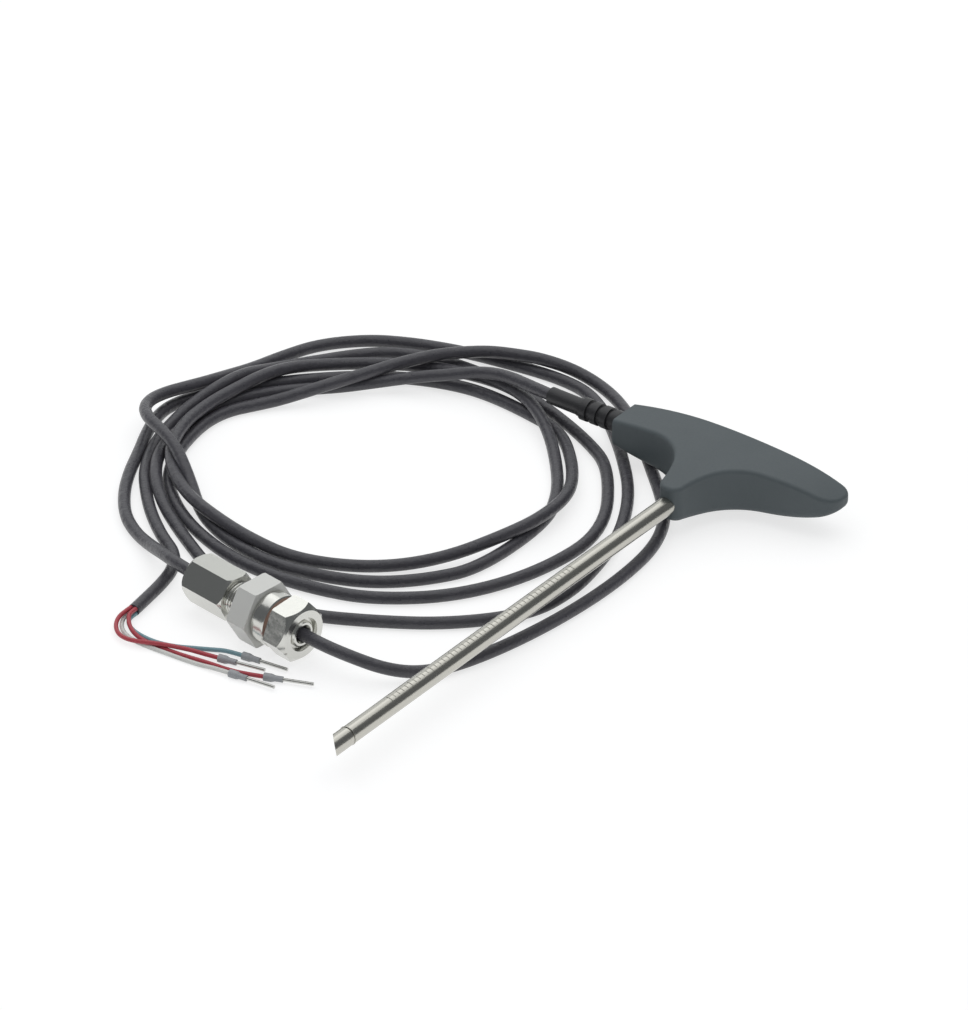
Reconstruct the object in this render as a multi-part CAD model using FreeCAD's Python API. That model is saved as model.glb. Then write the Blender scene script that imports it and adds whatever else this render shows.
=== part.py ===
"""Core-temperature meat probe: T-handle, needle, coiled cable, bulkhead gland and stripped tail.

Millimetres, Z up. Named values are measured from the point where the needle enters the stem, over
the surface that the probe lies on; the finished part stands on the middle of its footprint.
"""
import math
import os

import FreeCAD, Part

# middle of the footprint of handle, needle and gland
FOOT_X = -24.61
FOOT_Y = -64.62

# handle
AXIS_Z = 11.5
HUB_Y = 30.0
HUB_THICK = 16.2
DOME_R = 300.0
LEFT_DOME_R = 240.0
UPPER_STEM_R = 300.0
LOWER_STEM_R = 160.0
FALL_X = 15.0
END_THICK = 3.9
UPPER_SHARE = 0.42
STEM_HALF = 4.3
STEM_FLARE_X = 6.8
STEM_FLARE_Y = 12.4
NOSE_FLAT = 0.45
NOSE_LEAN = 8.7
PIT_R = 17.5
RIGHT_SWEEP = 11.0
LEFT_SWEEP = 1.5
BACK_Y = 38.9
LEFT_X = -38.3
LEFT_TRIM = 7.0
RIGHT_X = 43.2
RIGHT_FRONT_SHARE = 0.66
RIGHT_BACK_SHARE = 0.354
BACK_EASE_X = -10.0
BACK_EASE_R = 170.0
LEFT_CORNER = 3.0
RIDGE_ROUND = 1.3
BELLY_ROUND = 2.4
FACE_MARGIN = 10.0
FACE_STATIONS = 20

# needle
NEEDLE_R = 3.0
NEEDLE_BORE_R = 2.5
NEEDLE_DEPTH = 26.0
NEEDLE_ROOT_R = 2.8
TIP_Y = -164.9
TIP_LENGTH = 6.2
TIP_JOINT_Y = TIP_Y + TIP_LENGTH
TIP_CUT = (-0.717, -0.680, -0.153)
TIP_SPIGOT = 8.0
TIP_GROOVE = 0.5
SENSOR_R = 1.6
SENSOR_LENGTH = 9.0

# cable and strain relief
CABLE_R = 2.0
BOOT_Y = 30.5
BOOT_ROOT = 8.0
BOOT_ROOT_R = 3.2
BOOT_RIB_R = 3.7
BOOT_GROOVE_R = 3.0
BOOT_RIBS = 4
BOOT_RIB_PITCH = 4.0
BOOT_SLEEVE_R = 2.8
BOOT_NECK = 1.4
BOOT_LENGTH = 29.3
CABLE_DEPTH = 24.0

# gland, measured along its own axis from the rear end of the compression nut
GLAND_X = -91.5
GLAND_Y = -115.8
GLAND_TURN = -7.4
NUT_FLATS = 14.0
NUT_LENGTH = 17.3
NUT_ROLL = 15.0
NUT_CROWN = (0.9, 1.1)
EASE = (0.4, 0.3)
LOCKNUT_FLATS = 19.0
LOCKNUT_START = 23.4
COLLAR_START = 31.0
COLLAR_R = 8.5
GASKET_START = 36.4
GASKET_R = 8.2
HEAD_START = 38.0
HEAD_FLATS = 17.0
HEAD_ROLL = 6.0
HEAD_CROWN = (1.9, 2.0)
FRONT_END = 46.0
DISH_R = 5.6
DISH_DEPTH = 1.6
SHANK_R = 6.0
SPIGOT_R = 4.0
SPIGOT_START = 8.2
SEAL_START = 3.0
RING_START = 7.0
GLAND_BORE_R = 2.3
BUSH_R = 4.3
BUSH_START = 42.0
THREAD_GAP = 0.05
GLAND_Z = LOCKNUT_FLATS / 2

# coil: its edges' radii at twelve even stations
COIL_X = -93.8
COIL_Y = -25.8
COIL_FIRST = 37.35
COIL_OUTER = (81, 75, 79, 77.5, 79, 83, 74.6, 76.5, 84, 90, 97, 88)
COIL_INNER = (54.5, 54, 53, 48, 48, 54, 57, 56, 55.5, 53.7, 56, 56.5)
COIL_MID_Z = 8.6
COIL_TILT = 0.051
COIL_HIGH_SIDE = 187.35

# routes of the cable: points that its tube bends round
BOOT_MOUTH_X = LEFT_X - BOOT_LENGTH
LEAD = [
    (BOOT_MOUTH_X, BOOT_Y, AXIS_Z), (BOOT_MOUTH_X - 7.5, BOOT_Y, AXIS_Z), (-82.0, 33.2, 10.4),
    (-90.0, 38.2, 8.8), (-97.5, 44.6, 6.6),
]
GLAND_COS = math.cos(math.radians(GLAND_TURN))
GLAND_SIN = math.sin(math.radians(GLAND_TURN))


def on_gland(distance):
    """Point on the gland's axis, this far ahead of its rear end."""
    return (GLAND_X + distance * GLAND_COS, GLAND_Y + distance * GLAND_SIN, GLAND_Z)


LOOP = [
    (-165.0, -46.0, 2.0), (-160.0, -60.0, 2.0), (-153.0, -75.6, 2.0), (-143.0, -89.2, 2.0),
    (-133.0, -98.5, 2.0), (-121.8, -104.8, 3.2), (-109.5, -111.2, 8.0), on_gland(-7.5),
    on_gland(FRONT_END + 7.5), (-27.2, -122.6, 8.7), (-18.2, -118.8, 5.6), (-11.4, -111.4, 2.8),
    (-6.2, -100.6, 2.0), (-1.4, -85.0, 2.0), (2.2, -66.0, 2.0), (4.4, -46.0, 2.0),
    (4.6, -27.0, 2.0), (2.4, -9.0, 2.0), (-4.0, 5.6, 2.0), (-13.5, 16.0, 2.0),
    (-26.0, 27.5, 2.0), (-40.0, 40.5, 2.0), (-53.0, 51.0, 2.0), (-66.0, 57.6, 2.0),
    (-79.0, 58.6, 2.2), (-91.0, 54.5, 3.0), (-102.0, 47.0, 3.6),
]
TAIL = [
    (-128.5, -93.5, 2.0), (-120.0, -96.6, 2.0), (-111.6, -101.2, 2.0), (-106.2, -108.6, 2.0),
    (-103.6, -117.2, 2.0), (-102.6, -125.7, 2.0), (-102.6, -133.7, 2.0),
]

# conductors: each starts beside the middle of the jacket's end
WIRE_R = 0.7
WIRE_SPREAD = 0.85
WIRE_Z = 0.75
SLEEVE_R = 1.3
SLEEVE_NOSE_R = 0.95
SLEEVE_LENGTH = 6.0
PIN_R = 0.55
PIN_LENGTH = 9.6
FERRULE_Z = 1.3
JACKET_END = TAIL[-1]
WIRE_LEAVE = 2.9
FERRULE_REACH = 5.4
WIRES = {
    "white": {
        "start": (-1, -1),
        "points": [(-104.0, -141.6, 1.0), (-102.2, -146.2, WIRE_Z), (-97.4, -149.4, WIRE_Z),
                   (-90.8, -149.4, WIRE_Z), (-83.4, -147.4, WIRE_Z), (-75.4, -145.0, WIRE_Z),
                   (-69.0, -143.6, WIRE_Z)],
        "ferrule": (-58.4, -142.0, 8.0),
    },
    "red_b": {
        "start": (-1, 1),
        "points": [(-103.2, -141.0, 2.6), (-100.8, -145.0, 1.8), (-96.0, -147.3, 0.9),
                   (-90.0, -147.0, WIRE_Z), (-83.0, -144.8, WIRE_Z), (-75.4, -142.4, WIRE_Z),
                   (-67.6, -140.8, WIRE_Z), (-60.2, -140.3, WIRE_Z)],
        "ferrule": (-49.0, -137.3, 22.0),
    },
    "red_a": {
        "start": (1, 1),
        "points": [(-101.2, -140.2, 2.6), (-98.9, -143.2, 1.7), (-95.0, -145.0, 0.9),
                   (-90.0, -144.8, WIRE_Z), (-84.0, -142.8, WIRE_Z), (-77.6, -140.2, WIRE_Z)],
        "ferrule": (-66.2, -137.6, 12.0),
    },
    "teal": {
        "start": (1, -1),
        "points": [(-100.4, -139.7, 0.9), (-97.8, -142.0, WIRE_Z), (-94.6, -143.0, WIRE_Z),
                   (-90.2, -142.6, WIRE_Z), (-84.4, -140.6, WIRE_Z), (-77.4, -137.6, WIRE_Z),
                   (-71.4, -134.8, WIRE_Z)],
        "ferrule": (-61.2, -132.2, 8.0),
    },
}


def vec(point):
    """Vector in the finished part's frame from a point measured at the needle's entry."""
    return FreeCAD.Vector(point[0] - FOOT_X, point[1] - FOOT_Y, point[2])


def rod(radius, start, end):
    """Solid round bar between two points."""
    first = vec(start)
    along = vec(end) - first
    return Part.makeCylinder(radius, along.Length, first, along)


def turned(profile):
    """Solid turned round the X axis from (distance, radius) corners."""
    corners = [FreeCAD.Vector(distance, 0, radius) for distance, radius in profile]
    face = Part.Face(Part.makePolygon(corners + corners[:1]))
    return face.revolve(FreeCAD.Vector(), FreeCAD.Vector(1, 0, 0), 360)


def hexagon(flats, start, end, roll=0.0, rear=EASE, front=EASE):
    """Hexagon bar along X with flats up and down, its corners crowned at both ends."""
    corner_r = flats / math.sqrt(3)
    corners = []
    for step in range(7):
        angle = math.radians(60 * step + roll)
        corners.append(FreeCAD.Vector(start, corner_r * math.cos(angle), corner_r * math.sin(angle)))
    bar = Part.Face(Part.makePolygon(corners)).extrude(FreeCAD.Vector(end - start, 0, 0))
    crowned = turned([(start, 0), (start, corner_r - rear[0]), (start + rear[1], corner_r),
                      (end - front[1], corner_r), (end, corner_r - front[0]), (end, 0)])
    return bar.common(crowned)


def along_gland(shape):
    """Shape built along X, set on the gland's axis."""
    turn = FreeCAD.Rotation(FreeCAD.Vector(0, 0, 1), GLAND_TURN)
    shape.Placement = FreeCAD.Placement(vec((GLAND_X, GLAND_Y, GLAND_Z)), turn)
    return shape


def arc_through(start, middle, end):
    return Part.Arc(vec(start), vec(middle), vec(end)).toShape()


def line(start, end):
    return Part.LineSegment(vec(start), vec(end)).toShape()


def bend(start, lean_from, lean_to, radius, side):
    """Middle and end of a bend from one lean off Y to another, on one side of the stem."""
    centre_x = start[0] + radius * math.cos(math.radians(lean_from))
    centre_y = start[1] - radius * math.sin(math.radians(lean_from))
    found = []
    for lean in ((lean_from + lean_to) / 2, lean_to):
        found.append((side * (centre_x - radius * math.cos(math.radians(lean))),
                      centre_y + radius * math.sin(math.radians(lean)), 0))
    return found


def nose_corner():
    """Radius of the corner at each side of the nose, and how far up the stem it reaches."""
    radius = (STEM_HALF - NOSE_FLAT) / math.cos(math.radians(NOSE_LEAN))
    return radius, radius * (1 - math.sin(math.radians(NOSE_LEAN)))


def stem_side(side, sweep):
    """The stem's side: a gentle flare that runs into the hollow under the arm."""
    nose_y = nose_corner()[1]
    rise = STEM_FLARE_Y - nose_y
    widening = STEM_FLARE_X - STEM_HALF
    half_turn = math.degrees(math.atan2(widening, rise)) - NOSE_LEAN
    waist_lean = NOSE_LEAN + 2 * half_turn
    flare_r = math.hypot(widening, rise) / 2 / math.sin(math.radians(half_turn))
    flare_mid, waist = bend((STEM_HALF, nose_y), NOSE_LEAN, waist_lean, flare_r, side)
    pit_mid, pit_end = bend((STEM_FLARE_X, STEM_FLARE_Y), waist_lean, 90.0 - sweep, PIT_R, side)
    nose = (side * STEM_HALF, nose_y, 0)
    return [arc_through(nose, flare_mid, waist), arc_through(waist, pit_mid, pit_end)], pit_end


def corner(centre_x, centre_y, radius, first, last):
    """Rounded corner between two bearings round its centre, in degrees."""
    points = []
    for angle in (first, (first + last) / 2, last):
        points.append((centre_x + radius * math.cos(math.radians(angle)),
                       centre_y + radius * math.sin(math.radians(angle)), 0))
    return arc_through(*points), points[0], points[2]


def right_corners(pit_end):
    """Radii of the right arm's front and back corners, each a share of the arm's end."""
    end_width = BACK_Y - pit_end[1] - (RIGHT_X - pit_end[0]) * math.tan(math.radians(RIGHT_SWEEP))
    return RIGHT_FRONT_SHARE * end_width, RIGHT_BACK_SHARE * end_width


def right_end(pit_end):
    """Soft front corner, short end and back corner of the right arm."""
    low_r, high_r = right_corners(pit_end)
    sweep = math.radians(RIGHT_SWEEP)
    low_x = RIGHT_X - low_r
    low_y = pit_end[1] + (low_x - pit_end[0]) * math.tan(sweep) + low_r / math.cos(sweep)
    low, low_in, low_out = corner(low_x, low_y, low_r, RIGHT_SWEEP - 90, 0)
    high, high_out, high_in = corner(RIGHT_X - high_r, BACK_Y - high_r, high_r, 0, 90)
    return [line(pit_end, low_in), low, line(low_out, high_out), high], high_in


def nose_end():
    """The stem's flat end with a corner at each side that runs into the stem's lean."""
    radius = nose_corner()[0]
    right = corner(NOSE_FLAT, radius, radius, -90, -NOSE_LEAN)[0]
    left = corner(-NOSE_FLAT, radius, radius, 180 + NOSE_LEAN, 270)[0]
    return [left, line((-NOSE_FLAT, 0, 0), (NOSE_FLAT, 0, 0)), right]


def left_end(pit_end):
    """Left arm before its end is trimmed: front corner, end, back corner, then the back's eased stretch."""
    corner_x = LEFT_X - LEFT_TRIM + LEFT_CORNER
    front_y = pit_end[1] + (pit_end[0] - corner_x) * math.tan(math.radians(LEFT_SWEEP))
    low_y = front_y + LEFT_CORNER / math.cos(math.radians(LEFT_SWEEP))
    low, low_out, low_in = corner(corner_x, low_y, LEFT_CORNER, 180, 270 - LEFT_SWEEP)
    ease_y = BACK_Y - BACK_EASE_R
    rise = math.sqrt((BACK_EASE_R - LEFT_CORNER) ** 2 - (corner_x - BACK_EASE_X) ** 2)
    bearing = math.degrees(math.atan2(rise, corner_x - BACK_EASE_X))
    high, _, high_out = corner(corner_x, ease_y + rise, LEFT_CORNER, bearing, 180)
    ease, ease_start, _ = corner(BACK_EASE_X, ease_y, BACK_EASE_R, 90, bearing)
    return [line(pit_end, low_in), low, line(low_out, high_out), high, ease], ease_start


def handle_plan():
    """Outline of the T-handle seen from above, the left arm's end still untrimmed."""
    right_side, right_pit = stem_side(1, RIGHT_SWEEP)
    left_side, left_pit = stem_side(-1, LEFT_SWEEP)
    right_edges, right_back = right_end(right_pit)
    left_edges, left_back = left_end(left_pit)
    edges = nose_end() + right_side + right_edges + [line(right_back, left_back)] + left_edges + left_side
    return Part.Wire(Part.__sortEdges__(edges))


def half_thickness(x, y, stem_r, share):
    """Height of a domed face over the handle's middle plane; it takes its share of the right end's fall."""
    end_fall = HUB_THICK - RIGHT_X ** 2 / DOME_R - END_THICK
    fall = share * end_fall * (max(0.0, x - FALL_X) / (RIGHT_X - FALL_X)) ** 3
    dome_r = DOME_R if x > 0 else LEFT_DOME_R
    return HUB_THICK / 2 - x * x / (2 * dome_r) - (y - HUB_Y) ** 2 / (2 * stem_r) - fall


def stations(low, high):
    """Even stations from one end to the other, and a little beyond both."""
    step = (high - low + 2 * FACE_MARGIN) / (FACE_STATIONS - 1)
    return [low - FACE_MARGIN + step * count for count in range(FACE_STATIONS)]


def beyond_face(side, stem_r, share):
    """All that lies outside the handle's upper or lower face."""
    rows = []
    for x in stations(LEFT_X - LEFT_TRIM, RIGHT_X):
        row = []
        for y in stations(0.0, BACK_Y):
            row.append(vec((x, y, AXIS_Z + side * half_thickness(x, y, stem_r, share))))
        rows.append(row)
    surface = Part.BSplineSurface()
    surface.interpolate(rows)
    return surface.toShape().extrude(FreeCAD.Vector(0, 0, side * 3 * HUB_THICK))


def rim(blank, side):
    """Edges round the upper or lower face."""
    edges = []
    for edge in blank.Edges:
        level = abs(edge.tangentAt(edge.FirstParameter).z) < 0.7
        if level and side * (edge.CenterOfMass.z - AXIS_Z) > 0:
            edges.append(edge)
    return edges


def handle_blank():
    """The moulding before its sockets: the plan between two domed faces, edges rounded, left end trimmed."""
    bar = Part.Face(handle_plan()).extrude(FreeCAD.Vector(0, 0, 2 * AXIS_Z))
    above = beyond_face(1, UPPER_STEM_R, UPPER_SHARE)
    below = beyond_face(-1, LOWER_STEM_R, 1 - UPPER_SHARE)
    blank = bar.cut(above).cut(below)
    belly_round = min(BELLY_ROUND, 0.75 * right_corners(stem_side(1, RIGHT_SWEEP)[1])[1])
    blank = blank.makeFillet(belly_round, rim(blank, -1))
    blank = blank.makeFillet(RIDGE_ROUND, rim(blank, 1))
    trim = Part.makeBox(2 * LEFT_TRIM, 2 * BACK_Y, 2 * AXIS_Z, vec((LEFT_X - 2 * LEFT_TRIM, 0, 0)))
    return blank.cut(trim)


def make_handle():
    needle_socket = rod(NEEDLE_ROOT_R, (0, -1, AXIS_Z), (0, NEEDLE_DEPTH, AXIS_Z))
    boot_socket = rod(BOOT_ROOT_R, (LEFT_X - BOOT_ROOT, BOOT_Y, AXIS_Z), (LEFT_X + BOOT_ROOT, BOOT_Y, AXIS_Z))
    cable_socket = rod(CABLE_R, (LEFT_X, BOOT_Y, AXIS_Z), (LEFT_X + CABLE_DEPTH, BOOT_Y, AXIS_Z))
    return handle_blank().cut(needle_socket).cut(boot_socket).cut(cable_socket)


def make_needle():
    """Tube shouldered at the stem's nose, slant-cut point, temperature element and insulated core."""
    tube = rod(NEEDLE_R, (0, TIP_JOINT_Y, AXIS_Z), (0, 0, AXIS_Z))
    tube = tube.fuse(rod(NEEDLE_ROOT_R, (0, 0, AXIS_Z), (0, NEEDLE_DEPTH, AXIS_Z)))
    tube = tube.cut(rod(NEEDLE_BORE_R, (0, TIP_JOINT_Y - 1, AXIS_Z), (0, NEEDLE_DEPTH + 1, AXIS_Z)))
    tip = rod(NEEDLE_R, (0, TIP_Y - 2 * NEEDLE_R, AXIS_Z), (0, TIP_JOINT_Y - TIP_GROOVE, AXIS_Z))
    reach = 6 * NEEDLE_R
    cut_face = Part.makePlane(2 * reach, 2 * reach)
    cut_face.translate(FreeCAD.Vector(-reach, -reach, 0))
    turn = FreeCAD.Rotation(FreeCAD.Vector(0, 0, 1), FreeCAD.Vector(*TIP_CUT))
    cut_face.Placement = FreeCAD.Placement(vec((0, TIP_Y, AXIS_Z)), turn).multiply(cut_face.Placement)
    tip = tip.cut(cut_face.extrude(FreeCAD.Vector(*TIP_CUT) * reach))
    spigot_end = TIP_JOINT_Y + TIP_SPIGOT
    tip = tip.fuse(rod(NEEDLE_BORE_R, (0, TIP_JOINT_Y - 1, AXIS_Z), (0, spigot_end, AXIS_Z))).removeSplitter()
    element_start = spigot_end - SENSOR_LENGTH
    element = rod(SENSOR_R, (0, element_start, AXIS_Z), (0, spigot_end, AXIS_Z))
    tip = tip.cut(element)
    core = rod(NEEDLE_BORE_R, (0, spigot_end, AXIS_Z), (0, NEEDLE_DEPTH, AXIS_Z))
    return {"needle_tube": tube, "needle_tip": tip, "sensor_element": element, "needle_core": core}


def make_strain_relief():
    """Boot with a root in the handle, a neck, ribs, then a plain sleeve, bored for the cable."""
    profile = [(-BOOT_ROOT, CABLE_R), (-BOOT_ROOT, BOOT_ROOT_R), (BOOT_NECK, BOOT_ROOT_R)]
    start = BOOT_NECK
    for _ in range(BOOT_RIBS):
        profile += [(start, BOOT_RIB_R), (start + 0.6 * BOOT_RIB_PITCH, BOOT_RIB_R)]
        profile += [(start + 0.7 * BOOT_RIB_PITCH, BOOT_GROOVE_R), (start + BOOT_RIB_PITCH, BOOT_GROOVE_R)]
        start += BOOT_RIB_PITCH
    profile += [(start, BOOT_SLEEVE_R), (BOOT_LENGTH - 0.5, BOOT_SLEEVE_R)]
    profile += [(BOOT_LENGTH, BOOT_SLEEVE_R - 0.5), (BOOT_LENGTH, CABLE_R)]
    boot = turned(profile)
    turn = FreeCAD.Rotation(FreeCAD.Vector(0, 0, 1), 180)
    boot.Placement = FreeCAD.Placement(vec((LEFT_X, BOOT_Y, AXIS_Z)), turn)
    return boot


def make_gland():
    """Bulkhead gland: body, locknut, collar, gasket, compression nut, ring, seal and bush."""
    body = turned([(SPIGOT_START, GLAND_BORE_R), (SPIGOT_START, SPIGOT_R), (LOCKNUT_START, SPIGOT_R),
                   (LOCKNUT_START, SHANK_R), (HEAD_START, SHANK_R), (HEAD_START, GLAND_BORE_R)])
    head = hexagon(HEAD_FLATS, HEAD_START, FRONT_END, HEAD_ROLL, front=HEAD_CROWN)
    dish_floor = FRONT_END - DISH_DEPTH
    head = head.cut(turned([(HEAD_START - 1, 0), (HEAD_START - 1, GLAND_BORE_R), (BUSH_START, GLAND_BORE_R),
                            (BUSH_START, BUSH_R), (dish_floor, BUSH_R), (dish_floor, DISH_R - 0.6),
                            (FRONT_END + 0.1, DISH_R), (FRONT_END + 0.1, 0)]))
    body = body.fuse(head).removeSplitter()
    hole = SHANK_R + THREAD_GAP
    through = turned([(0, 0), (0, hole), (FRONT_END, hole), (FRONT_END, 0)])
    locknut = hexagon(LOCKNUT_FLATS, LOCKNUT_START, COLLAR_START).cut(through)
    collar = turned([(COLLAR_START, hole), (COLLAR_START, COLLAR_R - 0.6), (COLLAR_START + 0.6, COLLAR_R),
                     (GASKET_START - 0.4, COLLAR_R), (GASKET_START, COLLAR_R - 0.4), (GASKET_START, hole)])
    gasket = turned([(GASKET_START, hole), (GASKET_START, GASKET_R), (HEAD_START, GASKET_R),
                     (HEAD_START, hole)])
    nut_hole = SPIGOT_R + THREAD_GAP
    nut = hexagon(NUT_FLATS, 0, NUT_LENGTH, NUT_ROLL, NUT_CROWN, NUT_CROWN)
    nut = nut.cut(turned([(-1, 0), (-1, GLAND_BORE_R), (SEAL_START, GLAND_BORE_R), (SEAL_START, nut_hole),
                          (NUT_LENGTH + 1, nut_hole), (NUT_LENGTH + 1, 0)]))
    seal = turned([(SEAL_START, CABLE_R), (SEAL_START, SPIGOT_R), (RING_START, SPIGOT_R),
                   (RING_START, CABLE_R)])
    ring = turned([(RING_START, GLAND_BORE_R), (RING_START, SPIGOT_R), (SPIGOT_START, SPIGOT_R),
                   (SPIGOT_START, GLAND_BORE_R)])
    bush = turned([(BUSH_START, GLAND_BORE_R), (BUSH_START, BUSH_R), (FRONT_END - 0.9, BUSH_R),
                   (FRONT_END - 0.2, BUSH_R - 0.5), (FRONT_END - 0.2, BUSH_R - 1.2),
                   (FRONT_END - 1.8, GLAND_BORE_R)])
    pieces = {
        "gland_body": body, "gland_locknut": locknut, "gland_collar": collar, "gland_gasket": gasket,
        "compression_nut": nut, "cable_seal": seal, "compression_ring": ring, "bell_mouth": bush,
    }
    return {name: along_gland(shape) for name, shape in pieces.items()}


def ring_outline(radii):
    """Closed curve round the coil's middle through these radii."""
    points = []
    for step, radius in enumerate(radii):
        angle = math.radians(COIL_FIRST + 30 * step)
        points.append(vec((COIL_X + radius * math.cos(angle), COIL_Y + radius * math.sin(angle), 0)))
    curve = Part.BSplineCurve()
    curve.interpolate(points, PeriodicFlag=True)
    return Part.Wire(curve.toShape())


def make_coil():
    """Outer shape of the coil: a flat ring whose top slopes down to the front."""
    height = 3 * COIL_MID_Z
    ring = Part.Face(ring_outline(COIL_OUTER)).extrude(FreeCAD.Vector(0, 0, height))
    ring = ring.cut(Part.Face(ring_outline(COIL_INNER)).extrude(FreeCAD.Vector(0, 0, height)))
    slope = math.degrees(math.atan(COIL_TILT))
    reach = 2 * max(COIL_OUTER)
    lid = Part.makeBox(2 * reach, 2 * reach, height, FreeCAD.Vector(-reach, -reach, 0))
    turn = FreeCAD.Rotation(FreeCAD.Vector(0, 0, 1), COIL_HIGH_SIDE)
    turn = turn.multiply(FreeCAD.Rotation(FreeCAD.Vector(0, 1, 0), -slope))
    lid.Placement = FreeCAD.Placement(vec((COIL_X, COIL_Y, COIL_MID_Z)), turn)
    return ring.cut(lid)


def route_wire(points):
    """Path of straight runs joined by tangent arcs, each as large as its two runs allow."""
    edges = []
    radii = []
    last = points[0]
    for before, here, after in zip(points, points[1:], points[2:]):
        back = before - here
        ahead = after - here
        half = (math.pi - back.getAngle(ahead)) / 2
        reach = 0.45 * min(back.Length, ahead.Length)
        radius = reach / math.tan(half)
        back.normalize()
        ahead.normalize()
        bisector = (back + ahead).normalize()
        middle = here + bisector * (radius / math.cos(half) - radius)
        edges.append(Part.LineSegment(last, here + back * reach).toShape())
        edges.append(Part.Arc(here + back * reach, middle, here + ahead * reach).toShape())
        last = here + ahead * reach
        radii.append(radius)
    edges.append(Part.LineSegment(last, points[-1]).toShape())
    return Part.Wire(edges), radii


def tube(name, points, radius):
    """Round tube along a route; prints its bends and how its volume compares."""
    path, radii = route_wire([vec(point) for point in points])
    start = path.Edges[0]
    ring = Part.Circle(start.valueAt(start.FirstParameter), start.tangentAt(start.FirstParameter), radius)
    solid = path.makePipe(Part.Face(Part.Wire(ring.toShape())))
    share = solid.Volume / (math.pi * radius ** 2 * path.Length)
    shown = ", ".join(str(round(value, 1)) for value in radii)
    print(name, "length", round(path.Length, 1), "volume share", round(share, 4), "radii", shown)
    return solid


def make_cable():
    coil = make_coil()
    lead = tube("cable_lead", LEAD, CABLE_R).cut(coil)
    loop = tube("cable_loop", LOOP, CABLE_R).cut(coil)
    tail = tube("cable_tail", TAIL, CABLE_R).cut(coil)
    held = rod(CABLE_R, (BOOT_MOUTH_X, BOOT_Y, AXIS_Z), (LEFT_X + CABLE_DEPTH, BOOT_Y, AXIS_Z))
    return {"cable_end": held, "cable_lead": lead, "cable_coil": coil, "cable_loop": loop, "cable_tail": tail}


def make_wire(name, wire):
    """Conductor from the jacket's end to its ferrule, with the ferrule's sleeve and pin."""
    side, level = wire["start"]
    start = (JACKET_END[0] + side * WIRE_SPREAD, JACKET_END[1], JACKET_END[2] + level * WIRE_SPREAD)
    end_x, end_y, heading = wire["ferrule"]
    along = (math.cos(math.radians(heading)), math.sin(math.radians(heading)))
    crimp = (end_x, end_y, FERRULE_Z)
    leave = (start[0], start[1] - WIRE_LEAVE, start[2])
    arrive = (end_x - FERRULE_REACH * along[0], end_y - FERRULE_REACH * along[1], FERRULE_Z)
    solid = tube("wire_" + name, [start, leave] + wire["points"] + [arrive, crimp], WIRE_R)
    sleeve = turned([(0, PIN_R), (0, SLEEVE_R), (0.4 * SLEEVE_LENGTH, SLEEVE_R),
                     (0.6 * SLEEVE_LENGTH, SLEEVE_NOSE_R), (SLEEVE_LENGTH, SLEEVE_NOSE_R),
                     (SLEEVE_LENGTH, PIN_R)])
    sleeve.Placement = FreeCAD.Placement(vec(crimp), FreeCAD.Rotation(FreeCAD.Vector(0, 0, 1), heading))
    reach = SLEEVE_LENGTH + PIN_LENGTH
    pin = rod(PIN_R, crimp, (end_x + reach * along[0], end_y + reach * along[1], FERRULE_Z))
    return {"wire_" + name: solid, "ferrule_" + name + "_sleeve": sleeve, "ferrule_" + name + "_pin": pin}


def build():
    pieces = {"handle": make_handle(), "strain_relief": make_strain_relief()}
    pieces.update(make_needle())
    pieces.update(make_gland())
    pieces.update(make_cable())
    for name, wire in WIRES.items():
        pieces.update(make_wire(name, wire))
    os.makedirs("parts", exist_ok=True)
    for name, shape in pieces.items():
        shape.exportStep("parts/" + name + ".step")
        print(name, shape.isValid(), len(shape.Solids), round(shape.Volume, 1))


build()
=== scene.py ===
"""Meat probe: moulded T-shaped grip, steel needle, coiled cable, panel gland and ferruled wire ends."""

import math

import bmesh
import bpy
from mathutils import Matrix, Vector


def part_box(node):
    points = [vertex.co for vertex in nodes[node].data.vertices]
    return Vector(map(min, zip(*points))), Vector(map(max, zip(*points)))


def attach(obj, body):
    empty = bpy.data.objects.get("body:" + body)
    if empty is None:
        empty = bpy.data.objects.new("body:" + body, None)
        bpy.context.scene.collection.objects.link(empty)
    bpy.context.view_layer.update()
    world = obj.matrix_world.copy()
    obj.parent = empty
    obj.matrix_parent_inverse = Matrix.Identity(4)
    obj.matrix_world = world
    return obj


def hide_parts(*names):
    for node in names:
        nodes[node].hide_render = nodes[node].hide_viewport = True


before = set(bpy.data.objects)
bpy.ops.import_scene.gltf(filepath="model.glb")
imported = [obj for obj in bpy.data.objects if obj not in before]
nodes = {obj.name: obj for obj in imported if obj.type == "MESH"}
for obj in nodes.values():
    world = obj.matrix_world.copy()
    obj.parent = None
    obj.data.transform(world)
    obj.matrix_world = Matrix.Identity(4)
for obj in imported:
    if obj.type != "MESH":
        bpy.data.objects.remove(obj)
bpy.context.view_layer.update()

MM = 0.001

# Lengths are millimetres from the needle's entry into the grip, unless a comment says metres.
NEEDLE_LOW, NEEDLE_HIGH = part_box("needle_tube")
ENTRY = Vector(((NEEDLE_LOW.x + NEEDLE_HIGH.x) / 2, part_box("handle")[0].y, 0))
AXIS_Z = (NEEDLE_LOW.z + NEEDLE_HIGH.z) / 2 / MM
NEEDLE_R = (NEEDLE_HIGH.x - NEEDLE_LOW.x) / 2 / MM

# Camera: turn and tilt in degrees, distance and reach in metres, and the point in the middle of the picture.
VIEW_TURN = 37.35
VIEW_TILT = 32.5
VIEW_DISTANCE = 2.5
VIEW_REACH = 20.0
VIEW_LENS = 286.5
VIEW_SENSOR = 36.0
VIEW_AIM = (-55.9, -19.2, 0)

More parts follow.
